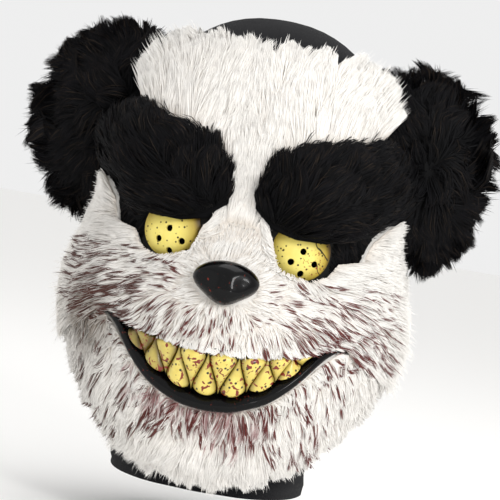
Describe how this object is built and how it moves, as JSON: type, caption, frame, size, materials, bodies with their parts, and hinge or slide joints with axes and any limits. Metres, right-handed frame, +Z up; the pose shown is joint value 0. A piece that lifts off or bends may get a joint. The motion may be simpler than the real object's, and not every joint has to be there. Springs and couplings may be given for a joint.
{
  "type": "panda costume mask",
  "caption": "Full-head furry panda costume mask: a hard face with plush ears, domed see-through eyes and interlocking teeth on a stretch fabric hood, open at the neck.",
  "frame": {"origin": "inner crown of the hood, where the wearer's head bears", "axes": "+Z up, the face looks along -Y, +X to the viewer's right"},
  "size_m": [0.3016, 0.2459, 0.318],
  "materials": {
    "white_fur": "off-white long-pile faux fur, stained",
    "black_fur": "black long-pile faux fur",
    "black_vinyl": "satin black moulded vinyl",
    "black_knit": "black brushed stretch knit",
    "gloss_black": "glossy black moulded plastic",
    "eye_enamel": "yellow gloss paint, speckled",
    "tooth_enamel": "yellow gloss paint, stained"
  },
  "bodies": {
    "root": {"face_shell": "black_vinyl", "hood": "black_knit", "forehead_fur": "white_fur", "muzzle_fur": "white_fur", "jaw_fur": "white_fur", "brow_patch_left": "black_fur", "brow_patch_right": "black_fur", "ear_left": "black_fur", "ear_right": "black_fur", "eye_left": "eye_enamel", "eye_right": "eye_enamel", "nose": "gloss_black", "lower_lip": "gloss_black", "tooth_lower_1": "tooth_enamel", "tooth_lower_2": "tooth_enamel", "tooth_lower_3": "tooth_enamel", "tooth_lower_4": "tooth_enamel", "tooth_lower_5": "tooth_enamel", "tooth_lower_6": "tooth_enamel", "tooth_lower_7": "tooth_enamel", "tooth_upper_1": "tooth_enamel", "tooth_upper_2": "tooth_enamel", "tooth_upper_3": "tooth_enamel", "tooth_upper_4": "tooth_enamel", "tooth_upper_5": "tooth_enamel", "tooth_upper_6": "tooth_enamel", "tooth_upper_7": "tooth_enamel"}
  },
  "joints": []
}
